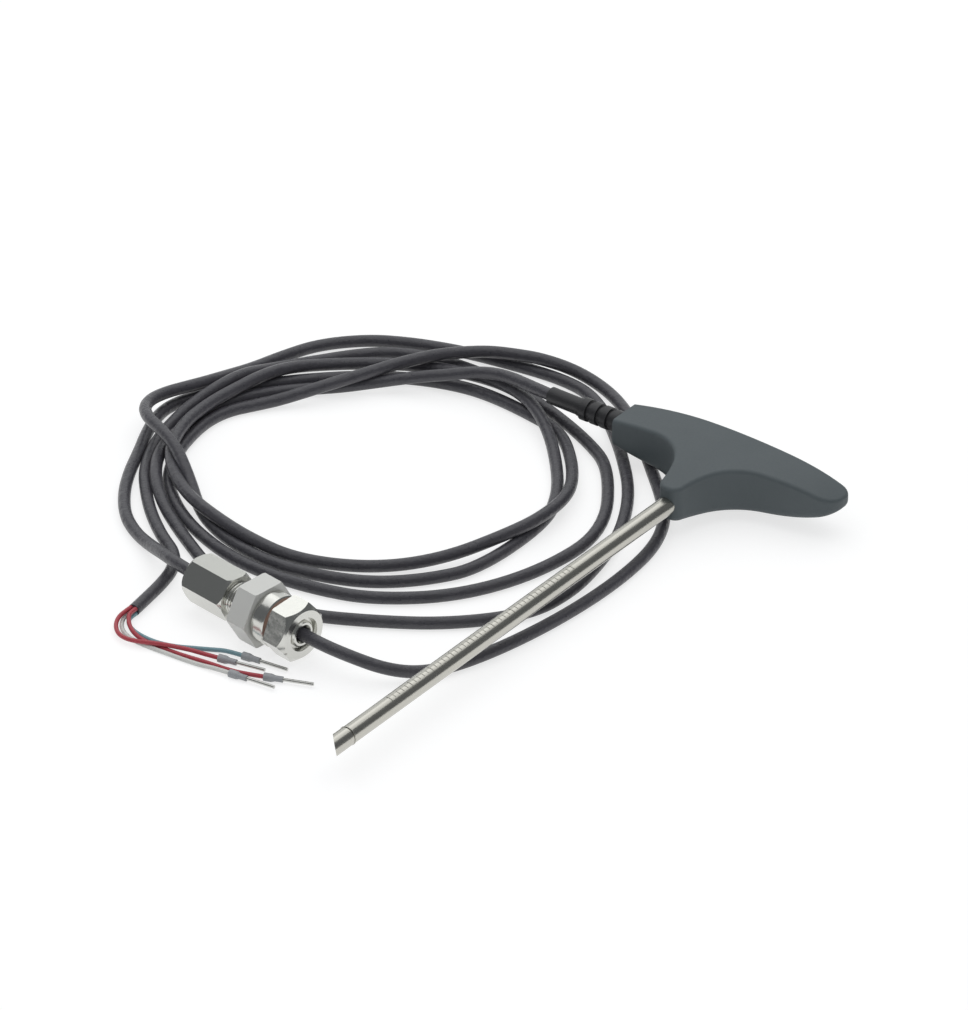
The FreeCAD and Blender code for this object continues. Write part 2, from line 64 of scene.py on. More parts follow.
# Floor and softbox, in metres and watts.
FLOOR_SIZE = 24.0
FLOOR_GLOW = 0.7
SOFTBOX_SPOT = (-0.3, 0.3, 1.4)
SOFTBOX_AIM = (-0.05, 0.03, 0)
SOFTBOX_SIZE = 2.2
SOFTBOX_POWER = 13

# Pale wall: the way to it, and how squarely a ray faces it where the wall starts and where it is palest.
PALE_WALL = (-0.7, 0.7, 0.0)
WALL_EDGE = 0.45
WALL_MIDDLE = 0.8

# Cable, with its radius, its start at the boot's mouth, and the middle of its coil.
CABLE_R = 2.0
BOOT_MOUTH = (-67.6, 30.5, 11.5)
COIL_X = -93.8
COIL_Y = -25.8

# Fineness of every cord, round it and along it.
CORD_ROUNDNESS = 5
CORD_STEPS = 8

# Gland: the rear end of its axis, with its turn and the small nut's roll in degrees.
GLAND_X = -91.5
GLAND_Y = -115.8
GLAND_Z = 9.5
GLAND_TURN = -7.4
GLAND_LENGTH = 46.0
NUT_ROLL = -20.0

# The cable has control points this far inside each end of the gland and this far outside it.
GLAND_INSIDE = 2.0
GLAND_OUTSIDE = 7.5

# A nut's edge is sharp from this many degrees, and its corners are one point within this many metres.
SHARP_EDGE = 20
SAME_POINT = 1e-6

# Exposed thread between the gland's two nuts, from the rear end of the axis.
THREAD_START = 17.0
THREAD_LENGTH = 6.8
THREAD_R = 4.9
THREAD_CREST = 0.62
THREAD_TURNS = 6.0
THREAD_STEPS = 40

# Marks in rows along the needle, with turn and sweep in degrees round it, and the ring behind its point.
MARKS_START = -49.0
POINT_RING = (NEEDLE_LOW.y - ENTRY.y) / MM
MARKS = {
    "depth_marks_short": {"count": 46, "spacing": 2.0, "start": MARKS_START, "turn": 8.0, "sweep": 30.0,
                          "thickness": 0.13},
    "depth_marks_long": {"count": 10, "spacing": 10.0, "start": MARKS_START, "turn": 8.0, "sweep": 48.0,
                         "thickness": 0.16},
    "point_ring": {"count": 1, "spacing": 1.0, "start": POINT_RING, "turn": 0.0, "sweep": 360.0,
                   "thickness": 0.2},
}
MARK_STEPS = 24

# Sides of a mark's or a thread's round section.
SECTION_SIDES = 8

# Conductors and their ferrules; a wire is declared as WIRE_SHARE of the line through its control points.
WIRE_R = 0.7
WIRE_SPREAD = 0.85
WIRE_Z = 0.75
WIRE_LEAVE = 2.9
FERRULE_REACH = 5.4
FERRULE_Z = 1.3


def place(x, y, z):
    """Point in the model's frame, from millimetres about the needle's entry."""
    return ENTRY + Vector((x, y, z)) * MM


def on_gland(distance):
    """Point on the gland's axis, this far ahead of its rear end."""
    turn = math.radians(GLAND_TURN)
    return (GLAND_X + distance * math.cos(turn), GLAND_Y + distance * math.sin(turn), GLAND_Z)


# The cable's turns as (degrees round from the camera's right, radius, height) where the cable lies.
TURN_1 = [
    (71, 51.2, 6.4), (80, 49.5, 5.2), (90, 49.0, 3.6), (102, 49.4, 2.4), (112, 51.5, 2.0),
    (121, 54.5, 2.0), (130, 58.0, 2.0), (139, 61.4, 2.0), (149, 63.6, 2.0), (158, 65.0, 2.4),
    (168, 66.6, 3.8), (178, 68.0, 4.6), (188, 68.7, 4.2), (199, 68.8, 3.0), (209, 69.2, 2.0),
    (218, 71.2, 2.0), (227, 74.8, 2.0), (240, 81.0, 2.0), (255, 85.0, 2.0), (270, 86.0, 2.0),
    (285, 90.5, 2.0), (300, 95.0, 2.0), (311, 92.5, 2.0), (323, 87.5, 2.0), (335, 84.0, 2.0),
    (350, 80.6, 2.0),
]
TURN_2 = [
    (5, 77.8, 2.0), (17, 77.8, 2.0), (27, 80.0, 2.0), (35, 80.8, 2.0), (42, 79.4, 2.0),
    (49, 77.4, 2.0), (56, 75.8, 2.0), (64, 75.2, 2.0), (72, 75.4, 2.0), (82, 76.2, 2.0),
    (92, 77.4, 2.0), (104, 76.8, 2.0), (114, 73.8, 2.0), (124, 70.8, 2.8), (134, 69.8, 5.0),
    (141, 70.6, 6.4), (146, 73.2, 6.8), (150.5, 76.0, 7.2), (155.7, 77.8, 8.0), (161, 77.0, 9.2),
    (166, 73.7, 10.2), (172, 67.6, 10.7), (178, 63.0, 10.4), (184.5, 60.2, 8.6), (193, 58.4, 5.2),
    (202, 58.7, 2.6), (212, 59.6, 2.0), (225, 60.5, 2.0), (240, 62.0, 2.0), (255, 63.0, 2.0),
    (270, 64.8, 2.0), (285, 65.0, 2.0), (300, 64.5, 2.0), (330, 60.5, 2.0), (345, 58.5, 2.0),
    (360, 57.0, 2.0),
]
TURN_3 = [
    (18, 57.5, 4.0), (32, 58.5, 6.3), (45, 60.0, 5.8), (60, 61.0, 4.0), (75, 61.5, 3.0),
    (90, 62.0, 2.6), (105, 61.8, 3.6), (118, 61.2, 6.0), (128, 60.6, 6.4), (137, 60.4, 6.2),
    (148, 61.6, 6.1), (160, 63.2, 6.2), (172, 64.0, 6.4), (182, 63.6, 6.4), (192, 62.4, 6.4),
    (202, 61.2, 6.4), (213, 59.4, 6.2), (228, 57.9, 4.8), (246, 57.2, 2.6), (270, 56.0, 2.0),
    (292, 57.0, 3.4), (315, 59.5, 5.8), (327, 62.0, 6.2), (343, 63.0, 4.6), (360, 62.0, 2.8),
]
TURN_4 = [
    (20, 62.5, 2.0), (34, 58.0, 2.0), (48, 56.5, 2.0), (60, 56.0, 2.0), (75, 55.0, 2.0),
    (90, 55.0, 2.0), (105, 56.0, 2.0), (117, 58.8, 2.0), (127, 62.4, 2.0), (136, 67.0, 2.0),
    (143, 71.8, 2.0), (150, 75.4, 2.0),
]
TURN_5 = [
    (54, 75.6, 6.6), (60, 72.4, 6.8), (66, 67.8, 7.0), (72, 62.8, 7.4), (78, 57.6, 7.7),
    (85, 52.8, 7.7), (94, 48.6, 7.2), (108, 46.4, 6.0), (120, 47.8, 4.2), (128, 50.6, 2.6),
    (136, 54.2, 2.0), (143, 57.8, 2.0), (151, 60.0, 2.0), (160, 61.0, 2.0), (170, 62.4, 2.0),
    (185, 64.8, 2.0), (205, 64.8, 2.0), (225, 66.0, 2.0), (240, 67.8, 2.0), (255, 70.0, 2.0),
    (270, 73.6, 2.0), (290, 76.0, 2.0), (311, 77.0, 2.0), (333, 78.5, 2.0), (360, 73.0, 2.0),
]
TURN_6 = [
    (14, 68.5, 2.0), (34, 64.5, 2.0), (45, 64.0, 2.0), (60, 65.6, 2.2), (75, 68.5, 2.2),
    (87, 69.6, 2.2), (97, 68.0, 2.2), (108, 66.8, 2.2), (120, 65.8, 3.8), (130, 65.4, 6.2),
    (138, 65.4, 6.3), (147, 67.0, 5.0), (156, 69.0, 3.0), (167, 70.6, 2.0), (180, 71.8, 2.0),
    (192, 72.2, 2.0), (201, 73.8, 2.0),
]

# The cable's control points outside the turns: from the boot, through the gland, and to the stripped end.
LEAD = [
    BOOT_MOUTH, (-75.8, 31.0, 11.4), (-84.2, 32.4, 10.6), (-91.8, 32.6, 9.5), (-98.6, 30.2, 8.4),
    (-104.2, 26.2, 7.4),
]
LOOP = [
    (-167.6, -44.0, 2.0), (-163.5, -53.8, 2.0), (-159.0, -62.5, 2.0), (-153.6, -74.0, 2.0),
    (-147.5, -84.0, 2.0), (-139.0, -93.8, 2.0), (-130.0, -99.6, 2.0), (-121.0, -103.8, 3.2),
    (-109.5, -110.6, 7.8), on_gland(-GLAND_OUTSIDE),
    on_gland(GLAND_INSIDE), on_gland(GLAND_LENGTH / 2), on_gland(GLAND_LENGTH - GLAND_INSIDE),
    on_gland(GLAND_LENGTH + GLAND_OUTSIDE), (-27.6, -121.6, 8.6), (-18.6, -116.8, 5.4), (-12.0, -109.4, 2.8),
    (-6.6, -99.4, 2.0), (-1.6, -84.4, 2.0), (2.2, -66.0, 2.0), (4.4, -46.0, 2.0),
    (4.6, -27.0, 2.0), (2.4, -9.0, 2.0), (-4.0, 5.6, 2.0), (-13.5, 16.0, 2.0),
    (-26.0, 27.5, 2.0), (-40.0, 40.5, 2.0), (-53.0, 50.6, 2.0), (-65.6, 56.6, 2.0),
    (-77.6, 57.0, 4.0), (-88.0, 53.2, 6.2),
]
TAIL = [
    (-122.0, -96.4, 2.0), (-112.8, -101.4, 2.0), (-107.6, -108.6, 2.0), (-105.2, -117.2, 2.0),
    (-103.8, -125.7, 2.0), (-102.6, -133.7, 2.0),
]

# Each wire's side and level in the jacket's end, its control points, and its ferrule's place and heading.
WIRES = {
    "white": {
        "start": (-1, -1),
        "points": [(-102.9, -138.8, 0.9), (-101.2, -141.4, WIRE_Z), (-98.4, -143.6, WIRE_Z),
                   (-94.8, -144.9, WIRE_Z), (-90.6, -145.3, WIRE_Z), (-85.6, -145.0, WIRE_Z),
                   (-80.5, -144.6, WIRE_Z), (-75.4, -144.2, WIRE_Z), (-69.0, -143.5, WIRE_Z)],
        "ferrule": (-58.4, -142.0, 8.0),
    },
    "red_b": {
        "start": (1, 1),
        "points": [(-100.6, -138.6, 2.6), (-98.4, -141.0, 2.3), (-95.4, -142.9, 1.8), (-91.4, -143.6, 0.9),
                   (-85.6, -143.3, WIRE_Z), (-80.5, -142.9, WIRE_Z), (-75.4, -142.4, WIRE_Z),
                   (-67.6, -141.0, WIRE_Z), (-60.2, -140.3, WIRE_Z)],
        "ferrule": (-49.0, -137.3, 22.0),
    },
    "red_a": {
        "start": (-1, 1),
        "points": [(-103.6, -139.6, 2.4), (-102.2, -142.9, 1.9), (-99.2, -145.8, 1.6), (-95.2, -147.2, 1.8),
                   (-91.0, -146.6, 2.1), (-87.2, -144.8, 2.2), (-83.2, -143.0, 2.2), (-78.4, -141.2, 2.0),
                   (-75.0, -139.8, 1.7)],
        "ferrule": (-66.2, -137.6, 12.0),
    },
    "teal": {
        "start": (1, -1),
        "points": [(-100.6, -138.8, 1.0), (-98.0, -140.6, WIRE_Z), (-94.4, -141.6, WIRE_Z),
                   (-90.2, -142.0, WIRE_Z), (-85.6, -141.6, WIRE_Z), (-80.6, -139.9, WIRE_Z),
                   (-75.4, -137.0, WIRE_Z), (-71.0, -134.6, WIRE_Z)],
        "ferrule": (-61.2, -132.2, 8.0),
    },
}


def colour(code):
    """Linear colour of an sRGB hex code."""
    channels = []
    for start in (1, 3, 5):
        value = int(code[start:start + 2], 16) / 255
        channels.append(value / 12.92 if value <= 0.04045 else ((value + 0.055) / 1.055) ** 2.4)
    return (*channels, 1.0)


def per_metre(size):
    """Scale of a pattern whose features are this many millimetres wide."""
    return 1 / (size * MM)


def add(tree, kind, inputs=None, **settings):
    """Node with its settings; an input takes a value or another node's output."""
    node = tree.nodes.new(kind)
    for name, value in settings.items():
        setattr(node, name, value)
    for name, value in (inputs or {}).items():
        if isinstance(value, bpy.types.NodeSocket):
            tree.links.new(value, node.inputs[name])
        else:
            node.inputs[name].default_value = value
    return node


def new_material(name):
    """Empty material and its tree."""
    material = bpy.data.materials.new(name)
    material.use_nodes = True
    material.node_tree.nodes.clear()
    return material, material.node_tree


def nylon_grip():
    """Glass-filled nylon moulded in a spark-eroded tool: slate grey, matte, with a fine even grain."""
    material, tree = new_material("moulded_nylon_slate")
    spot = add(tree, "ShaderNodeTexCoord").outputs["Object"]
    cloud = add(tree, "ShaderNodeTexNoise", {"Vector": spot, "Scale": per_metre(14), "Detail": 3.0})
    tone = add(tree, "ShaderNodeMix", {"Factor": cloud.outputs["Fac"], "A": colour("#4C5457"),
                                       "B": colour("#545C5F")}, data_type="RGBA")
    # The real grain is finer, and is drawn as coarse as it needs to show.
    grain = add(tree, "ShaderNodeTexNoise", {"Vector": spot, "Scale": per_metre(0.7), "Detail": 2.0})
    rough = add(tree, "ShaderNodeMapRange", {"Value": grain.outputs["Fac"], "To Min": 0.48, "To Max": 0.62})
    bump = add(tree, "ShaderNodeBump", {"Height": grain.outputs["Fac"], "Strength": 0.25,
                                        "Distance": 0.08 * MM})
    shader = add(tree, "ShaderNodeBsdfPrincipled", {
        "Base Color": tone.outputs["Result"], "Roughness": rough.outputs["Result"],
        "Normal": bump.outputs["Normal"], "IOR": 1.5})
    add(tree, "ShaderNodeOutputMaterial", {"Surface": shader.outputs["BSDF"]})
    return material


def jacket(name, dark, light, rough, wrinkle):
    """Extruded or moulded elastomer: near black with a soft gloss, dusty, and rippled where it was bent."""
    material, tree = new_material(name)
    spot = add(tree, "ShaderNodeTexCoord").outputs["Object"]
    ripple = add(tree, "ShaderNodeTexNoise", {"Vector": spot, "Scale": per_metre(4), "Detail": 5.0,
                                              "Roughness": 0.65})
    # The real dust is finer, and is drawn as coarse as it needs to show.
    dust = add(tree, "ShaderNodeTexNoise", {"Vector": spot, "Scale": per_metre(1.2), "Detail": 2.0})
    tone = add(tree, "ShaderNodeMix", {"Factor": dust.outputs["Fac"], "A": colour(dark),
                                       "B": colour(light)}, data_type="RGBA")
    gloss = add(tree, "ShaderNodeMapRange", {"Value": dust.outputs["Fac"], "To Min": rough - 0.06,
                                             "To Max": rough + 0.08})
    bump = add(tree, "ShaderNodeBump", {"Height": ripple.outputs["Fac"], "Strength": wrinkle,
                                        "Distance": 0.6 * MM})
    shader = add(tree, "ShaderNodeBsdfPrincipled", {
        "Base Color": tone.outputs["Result"], "Roughness": gloss.outputs["Result"],
        "Normal": bump.outputs["Normal"], "IOR": 1.5})
    add(tree, "ShaderNodeOutputMaterial", {"Surface": shader.outputs["BSDF"]})
    return material


def metal(name, tone, rough, grain, stretch=(1.0, 1.0, 1.0), shine=1.0, wave=0.0):
    """Metal with fine lines, which stretch draws out; less shine dulls it, and a wave bends its flats."""
    material, tree = new_material(name)
    spot = add(tree, "ShaderNodeTexCoord").outputs["Object"]
    lines = add(tree, "ShaderNodeMapping", {"Vector": spot, "Scale": stretch})
    # The real lines are finer, and are drawn as coarse as they need to show.
    scratch = add(tree, "ShaderNodeTexNoise", {"Vector": lines.outputs["Vector"], "Scale": per_metre(grain),
                                               "Detail": 3.0})
    gloss = add(tree, "ShaderNodeMapRange", {"Value": scratch.outputs["Fac"], "To Min": rough - 0.05,
                                             "To Max": rough + 0.07})
    swell = add(tree, "ShaderNodeTexNoise", {"Vector": spot, "Scale": per_metre(5), "Detail": 2.0})
    flats = add(tree, "ShaderNodeBump", {"Height": swell.outputs["Fac"], "Strength": 1.0,
                                         "Distance": wave * MM})
    bump = add(tree, "ShaderNodeBump", {"Height": scratch.outputs["Fac"], "Strength": 0.08,
                                        "Distance": 0.05 * MM, "Normal": flats.outputs["Normal"]})
    shader = add(tree, "ShaderNodeBsdfPrincipled", {
        "Base Color": colour(tone), "Metallic": shine, "Roughness": gloss.outputs["Result"],
        "Normal": bump.outputs["Normal"]})
    add(tree, "ShaderNodeOutputMaterial", {"Surface": shader.outputs["BSDF"]})
    return material


def smooth_plastic(name, tone, shade, rough):
    """Extruded or moulded plastic, rubber or fibre, smooth and a little uneven in its colour."""
    material, tree = new_material(name)
    spot = add(tree, "ShaderNodeTexCoord").outputs["Object"]
    cloud = add(tree, "ShaderNodeTexNoise", {"Vector": spot, "Scale": per_metre(2.5), "Detail": 2.0})
    mixed = add(tree, "ShaderNodeMix", {"Factor": cloud.outputs["Fac"], "A": colour(tone),
                                        "B": colour(shade)}, data_type="RGBA")
    bump = add(tree, "ShaderNodeBump", {"Height": cloud.outputs["Fac"], "Strength": 0.1,
                                        "Distance": 0.1 * MM})
    shader = add(tree, "ShaderNodeBsdfPrincipled", {
        "Base Color": mixed.outputs["Result"], "Roughness": rough, "Normal": bump.outputs["Normal"],
        "IOR": 1.5})
    add(tree, "ShaderNodeOutputMaterial", {"Surface": shader.outputs["BSDF"]})
    return material


def seen(tree):
    """One for what the camera, metal and glass see, and zero for the light that a surface or wall gives."""
    rays = add(tree, "ShaderNodeLightPath")
    either = add(tree, "ShaderNodeMath", {0: rays.outputs["Is Camera Ray"], 1: rays.outputs["Is Glossy Ray"]},
                 operation="ADD")
    every = add(tree, "ShaderNodeMath", {0: either.outputs[0], 1: rays.outputs["Is Transmission Ray"]},
                operation="ADD")
    return every.outputs[0]


def floor_paper():
    """White paper sweep: bounces plain white light, and is seen as white with a weak shadow."""
    material, tree = new_material("paper_sweep")
    paper = add(tree, "ShaderNodeBsdfDiffuse", {"Color": colour("#F2F2F2")})
    shaded = add(tree, "ShaderNodeBsdfDiffuse", {"Color": colour("#A6A6A6")})
    glow = add(tree, "ShaderNodeEmission", {"Color": colour("#FFFFFF"), "Strength": FLOOR_GLOW})
    lit = add(tree, "ShaderNodeAddShader", {0: shaded.outputs[0], 1: glow.outputs[0]})
    both = add(tree, "ShaderNodeMixShader", {0: seen(tree), 1: paper.outputs[0], 2: lit.outputs[0]})
    add(tree, "ShaderNodeOutputMaterial", {"Surface": both.outputs[0]})
    return material


def make_floor():
    """Flat sweep that the object lies on."""
    half = FLOOR_SIZE / 2
    corners = [(-half, -half, 0), (half, -half, 0), (half, half, 0), (-half, half, 0)]
    mesh = bpy.data.meshes.new("floor")
    mesh.from_pydata(corners, [], [(0, 1, 2, 3)])
    mesh.materials.append(floor_paper())
    floor = bpy.data.objects.new("floor", mesh)
    bpy.context.scene.collection.objects.link(floor)


def make_softbox():
    """Large square softbox above the object and a little behind it."""
    lamp = bpy.data.lights.new("top_softbox", "AREA")
    lamp.size = SOFTBOX_SIZE
    lamp.energy = SOFTBOX_POWER
    box = bpy.data.objects.new("top_softbox", lamp)
    box.location = SOFTBOX_SPOT
    box.rotation_euler = (Vector(SOFTBOX_AIM) - Vector(SOFTBOX_SPOT)).to_track_quat("-Z", "Y").to_euler()
    bpy.context.scene.collection.objects.link(box)


def make_world():
    """Evenly lit studio, seen with one pale wall at the back left and darker ones elsewhere."""
    world = bpy.data.worlds.new("studio")
    world.use_nodes = True
    tree = world.node_tree
    tree.nodes.clear()
    way = add(tree, "ShaderNodeTexCoord").outputs["Generated"]
    side = add(tree, "ShaderNodeVectorMath", {0: way, 1: PALE_WALL}, operation="DOT_PRODUCT")
    bright = add(tree, "ShaderNodeMapRange", {"Value": side.outputs["Value"], "From Min": WALL_EDGE,
                                              "From Max": WALL_MIDDLE})
    walls = add(tree, "ShaderNodeMix", {"Factor": bright.outputs["Result"], "A": colour("#686A6C"),
                                        "B": colour("#E9EBEB")}, data_type="RGBA")
    tone = add(tree, "ShaderNodeMix", {"Factor": seen(tree), "A": colour("#BCBEC0"),
                                       "B": walls.outputs["Result"]}, data_type="RGBA")
    sky = add(tree, "ShaderNodeBackground", {"Color": tone.outputs["Result"], "Strength": 1.0})
    add(tree, "ShaderNodeOutputWorld", {"Surface": sky.outputs["Background"]})
    bpy.context.scene.world = world


def make_camera():
    """Long lens that looks down on the object from the front right."""
    turn = math.radians(VIEW_TURN)
    tilt = math.radians(VIEW_TILT)
    away = Vector((math.sin(turn) * math.cos(tilt), -math.cos(turn) * math.cos(tilt), math.sin(tilt)))
    lens = bpy.data.cameras.new("camera")
    lens.lens = VIEW_LENS
    lens.sensor_width = VIEW_SENSOR
    lens.clip_end = VIEW_REACH
    camera = bpy.data.objects.new("camera", lens)
    camera.location = place(*VIEW_AIM) + away * VIEW_DISTANCE
    camera.rotation_euler = (-away).to_track_quat("-Z", "Y").to_euler()
    bpy.context.scene.collection.objects.link(camera)
    bpy.context.scene.camera = camera


def coil_turn(stations):
    """Control points that bring the spline round at these angles, radii and heights."""
    points = []
    for index, (angle, radius, height) in enumerate(stations):
        before = stations[max(index - 1, 0)][0]
        after = stations[min(index + 1, len(stations) - 1)][0]
        # The spline cuts its control line's corners, so each corner stands a little outside.
        outside = radius / math.cos(math.radians((after - before) / 4))
        turn = math.radians(angle + VIEW_TURN)
        points.append((COIL_X + outside * math.cos(turn), COIL_Y + outside * math.sin(turn), height))
    return points


def make_cord(name, points, radius, material):
    """Round cord on one smooth spline."""
    curve = bpy.data.curves.new(name, "CURVE")
    curve.dimensions = "3D"
    curve.bevel_depth = radius * MM
    curve.bevel_resolution = CORD_ROUNDNESS
    curve.resolution_u = CORD_STEPS
    curve.use_fill_caps = True
    spline = curve.splines.new("NURBS")
    spline.points.add(len(points) - 1)
    for knot, point in zip(spline.points, points):
        knot.co = (*place(*point), 1.0)
    spline.order_u = 3
    spline.use_endpoint_u = True
    curve.materials.append(material)
    cord = bpy.data.objects.new(name, curve)
    bpy.context.scene.collection.objects.link(cord)
    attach(cord, "root")
    return cord


def make_cable(material):
    """Cable from the boot, round the coil, through the gland and round again to its stripped end."""
    route = LEAD + coil_turn(TURN_1) + coil_turn(TURN_2) + coil_turn(TURN_3) + coil_turn(TURN_4)
    route += LOOP + coil_turn(TURN_5) + coil_turn(TURN_6) + TAIL
    cable = make_cord("cable", route, CABLE_R, material)
    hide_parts("cable_lead", "cable_coil", "cable_loop", "cable_tail")


def make_wire(name, material):
    """Conductor from the jacket's end to its ferrule."""
    wire = WIRES[name]
    side, level = wire["start"]
    end_x, end_y, end_z = TAIL[-1]
    start = (end_x + side * WIRE_SPREAD, end_y, end_z + level * WIRE_SPREAD)
    leave = (start[0], start[1] - WIRE_LEAVE, start[2])
    crimp_x, crimp_y, heading = wire["ferrule"]
    back_x = FERRULE_REACH * math.cos(math.radians(heading))
    back_y = FERRULE_REACH * math.sin(math.radians(heading))
    arrive = (crimp_x - back_x, crimp_y - back_y, FERRULE_Z)
    route = [start, leave] + wire["points"] + [arrive, (crimp_x, crimp_y, FERRULE_Z)]
    cord = make_cord("conductor_" + name, route, WIRE_R, material)
    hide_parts("wire_" + name)


def gland_frame(distance):
    """Matrix whose Z runs along the gland's axis, this far ahead of its rear end."""
    axis = Vector((math.cos(math.radians(GLAND_TURN)), math.sin(math.radians(GLAND_TURN)), 0))
    return Matrix.Translation(place(*on_gland(distance))) @ axis.to_track_quat("Z", "Y").to_matrix().to_4x4()


def turned_nut(name, angle, material):
    """The gland's nut with its flats brought round to where the tightened nut shows them."""
    node = nodes[name]
    turn = gland_frame(0) @ Matrix.Rotation(math.radians(angle), 4, "Z") @ gland_frame(0).inverted()
    shape = bmesh.new()
    shape.from_mesh(node.data)
    bmesh.ops.remove_doubles(shape, verts=shape.verts, dist=SAME_POINT)
    corners = [turn @ node.matrix_world @ vertex.co for vertex in shape.verts]
    faces = [[vertex.index for vertex in face.verts] for face in shape.faces]
    shape.free()
    mesh = bpy.data.meshes.new("turned_" + name)
    mesh.from_pydata(corners, [], faces)
    mesh.shade_smooth()
    mesh.set_sharp_from_angle(angle=math.radians(SHARP_EDGE))
    mesh.materials.append(material)
    nut = bpy.data.objects.new("turned_" + name, mesh)
    bpy.context.scene.collection.objects.link(nut)
    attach(nut, "root")
    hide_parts(name)


def new_maker(name, *sockets):
    """Geometry node tree with these named inputs, and its group input's outputs."""
    tree = bpy.data.node_groups.new(name, "GeometryNodeTree")
    for socket, kind in sockets:
        tree.interface.new_socket(socket, in_out="INPUT", socket_type=kind)
    tree.interface.new_socket("Geometry", in_out="OUTPUT", socket_type="NodeSocketGeometry")
    return tree, tree.nodes.new("NodeGroupInput").outputs


def end_maker(tree, geometry, material):
    """Ends a tree with plain geometry in its material."""
    plain = add(tree, "GeometryNodeRealizeInstances", {"Geometry": geometry})
    shown = add(tree, "GeometryNodeSetMaterial", {"Geometry": plain.outputs["Geometry"],
                                                  "Material": material})
    add(tree, "NodeGroupOutput", {"Geometry": shown.outputs["Geometry"]})


def rings_maker(material):
    """Arcs round Z, one above another, as engraved on a round rod."""
    tree, values = new_maker("rings_maker", ("Count", "NodeSocketInt"), ("Spacing", "NodeSocketFloat"),
                             ("Radius", "NodeSocketFloat"), ("Start", "NodeSocketFloat"),
                             ("Sweep", "NodeSocketFloat"), ("Thickness", "NodeSocketFloat"))
    arc = add(tree, "GeometryNodeCurveArc", {"Resolution": MARK_STEPS, "Radius": values["Radius"],
                                             "Start Angle": values["Start"], "Sweep Angle": values["Sweep"]})
    section = add(tree, "GeometryNodeCurvePrimitiveCircle", {"Resolution": SECTION_SIDES,
                                                             "Radius": values["Thickness"]})
    mark = add(tree, "GeometryNodeCurveToMesh", {
        "Curve": arc.outputs["Curve"], "Profile Curve": section.outputs["Curve"], "Fill Caps": True})
    step = add(tree, "ShaderNodeCombineXYZ", {"Z": values["Spacing"]})
    row = add(tree, "GeometryNodeMeshLine", {"Count": values["Count"], "Offset": step.outputs["Vector"]})
    marks = add(tree, "GeometryNodeInstanceOnPoints", {"Points": row.outputs["Mesh"],
                                                       "Instance": mark.outputs["Mesh"]})
    end_maker(tree, marks.outputs["Instances"], material)
    return tree


def thread_maker(material):
    """Round-crested screw thread along Z."""
    tree, values = new_maker("thread_maker", ("Turns", "NodeSocketFloat"), ("Length", "NodeSocketFloat"),
                             ("Radius", "NodeSocketFloat"), ("Crest", "NodeSocketFloat"))
    helix = add(tree, "GeometryNodeCurveSpiral", {
        "Resolution": THREAD_STEPS, "Rotations": values["Turns"], "Start Radius": values["Radius"],
        "End Radius": values["Radius"], "Height": values["Length"]})
    section = add(tree, "GeometryNodeCurvePrimitiveCircle", {"Resolution": SECTION_SIDES,
                                                             "Radius": values["Crest"]})
    ridge = add(tree, "GeometryNodeCurveToMesh", {
        "Curve": helix.outputs["Curve"], "Profile Curve": section.outputs["Curve"], "Fill Caps": True})
    end_maker(tree, ridge.outputs["Mesh"], material)
    return tree


def make_piece(name, tree, values, spot):
    """Plain mesh of what a tree makes from these values, put in its place."""
    piece = bpy.data.objects.new(name, bpy.data.meshes.new(name))
    bpy.context.scene.collection.objects.link(piece)
    maker = piece.modifiers.new("maker", "NODES")
    maker.node_group = tree
    for item in tree.interface.items_tree:
        if item.in_out == "INPUT":
            maker[item.identifier] = values[item.name]
    graph = bpy.context.evaluated_depsgraph_get()
    mesh = bpy.data.meshes.new_from_object(piece.evaluated_get(graph))
    piece.modifiers.remove(maker)
    mesh.transform(spot)
    mesh.shade_smooth()
    piece.data = mesh
    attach(piece, "root")


def make_thread(material):
    """Thread that shows between the gland's two nuts."""
    values = {"Turns": THREAD_TURNS, "Length": THREAD_LENGTH * MM, "Radius": THREAD_R * MM,
              "Crest": THREAD_CREST * MM}
    make_piece("gland_thread", thread_maker(material), values, gland_frame(THREAD_START))


def make_marks(material):
    """Plain depth marks on the needle's upper side and the ring turned behind its point."""
    tree = rings_maker(material)
    towards_point = Matrix.Rotation(math.radians(90), 4, "X")
    for name, row in MARKS.items():
        spot = Matrix.Translation(place(0, row["start"], AXIS_Z)) @ towards_point
        # An arc starts from the needle's side, so 90 degrees bring its middle to the top.
        values = {"Count": row["count"], "Spacing": row["spacing"] * MM, "Radius": NEEDLE_R * MM,
                  "Start": math.radians(90 - row["turn"] - row["sweep"] / 2),
                  "Sweep": math.radians(row["sweep"]), "Thickness": row["thickness"] * MM}
        make_piece(name, tree, values, spot)


def dress(material, *names):
    """Gives these CAD pieces their finish."""
    for name in names:
        mesh = nodes[name].data
        mesh.materials.clear()
        mesh.materials.append(material)


def make_studio():
    """Camera, walls, floor and light."""
    bpy.context.scene.view_settings.view_transform = "Standard"
    make_camera()
    make_world()
    make_floor()
    make_softbox()


def make_cords():
    """Cable and the conductors at its stripped end."""
    # Extruded elastomer: near black, with soft broken streaks of light along each turn.
    make_cable(jacket("cable_elastomer_black", "#414045", "#4A494E", rough=0.29, wrinkle=1.0))
    # Extruded vinyl: clear colours with a soft gloss.
    insulation = {
        "red": smooth_plastic("wire_vinyl_red", "#B5454F", "#A83C46", rough=0.35),
        "white": smooth_plastic("wire_vinyl_white", "#DADAD6", "#CCCCC8", rough=0.35),
        "teal": smooth_plastic("wire_vinyl_teal", "#7FA0A8", "#6F929B", rough=0.35),
    }
    for name in WIRES:
        tint = name.split("_")[0]
        make_wire(name, insulation[tint])


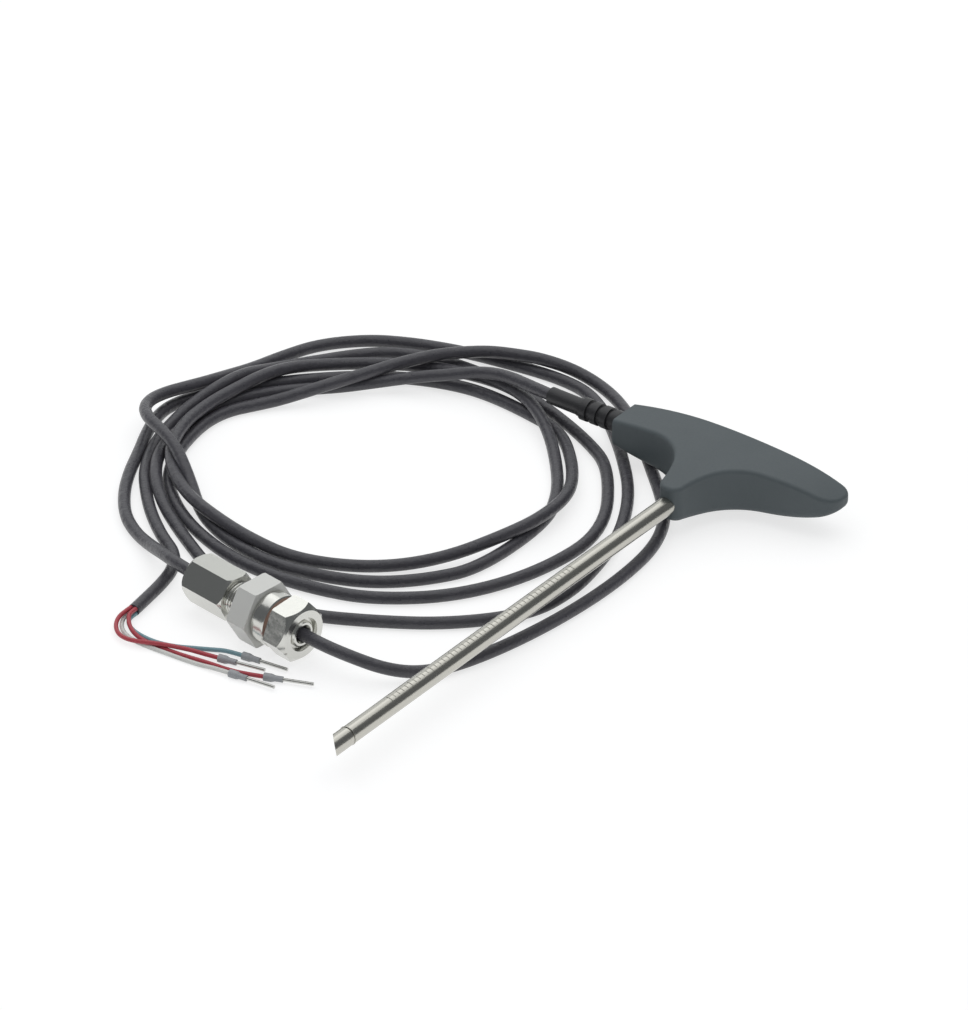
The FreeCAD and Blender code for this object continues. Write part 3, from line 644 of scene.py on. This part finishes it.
def dress_handle():
    """Grip, and the boot where the cable leaves it."""
    dress(nylon_grip(), "handle")
    # Moulded rubber: blacker and duller than the cable, and nearly smooth.
    rubber = jacket("boot_rubber_black", "#28282A", "#303032", rough=0.42, wrinkle=0.2)
    dress(rubber, "strain_relief", "cable_end")


def dress_gland():
    """Gland with its turned nut, its thread and the seal inside it."""
    # Nickel plate on turned brass: a bright, faintly warm mirror whose flats are a little uneven.
    nickel = metal("nickel_plated_brass", "#D2D2CD", rough=0.2, grain=0.8, wave=0.12)
    dress(nickel, "gland_body", "gland_collar", "bell_mouth")
    turned_nut("compression_nut", NUT_ROLL, nickel)
    make_thread(nickel)
    # Zinc plate on steel: pale grey, with a dull bloom that hides most of the reflections.
    zinc = metal("zinc_plated_steel", "#D4D4D0", rough=0.38, grain=0.8, shine=0.25)
    dress(zinc, "gland_locknut")
    # Pressed fibre: brown and dry.
    dress(smooth_plastic("fibre_gasket_brown", "#7A5F50", "#6A5144", rough=0.7), "gland_gasket")
    # Moulded rubber: dull black, and out of sight inside the nut.
    dress(smooth_plastic("seal_rubber", "#222222", "#2A2A2A", rough=0.6), "cable_seal", "compression_ring")


def dress_needle():
    """Needle with its marks, and the parts inside it."""
    # Drawn and polished stainless tube: long straight reflections, softened by fine lines along it.
    steel = metal("polished_stainless_tube", "#C2C0B8", rough=0.23, grain=0.6, stretch=(1.0, 0.02, 1.0))
    dress(steel, "needle_tube", "needle_tip")
    make_marks(steel)
    # Cast insulation: off-white and half matte, and out of sight inside the tube.
    cast = smooth_plastic("insulation_natural", "#D8D6CE", "#CCCAC2", rough=0.5)
    dress(cast, "needle_core", "sensor_element")


def dress_ferrules():
    """Sleeves and pins crimped on the conductors."""
    # Moulded polypropylene: mid grey with a soft gloss.
    grey = smooth_plastic("ferrule_polypropylene_grey", "#A2A4A6", "#96989C", rough=0.4)
    # Tin on copper: silvery, with slightly blurred reflections.
    tin = metal("tinned_copper", "#C8C8C4", rough=0.28, grain=0.5)
    for name in WIRES:
        dress(grey, f"ferrule_{name}_sleeve")
        dress(tin, f"ferrule_{name}_pin")


make_studio()
make_cords()
dress_handle()
dress_gland()
dress_needle()
dress_ferrules()
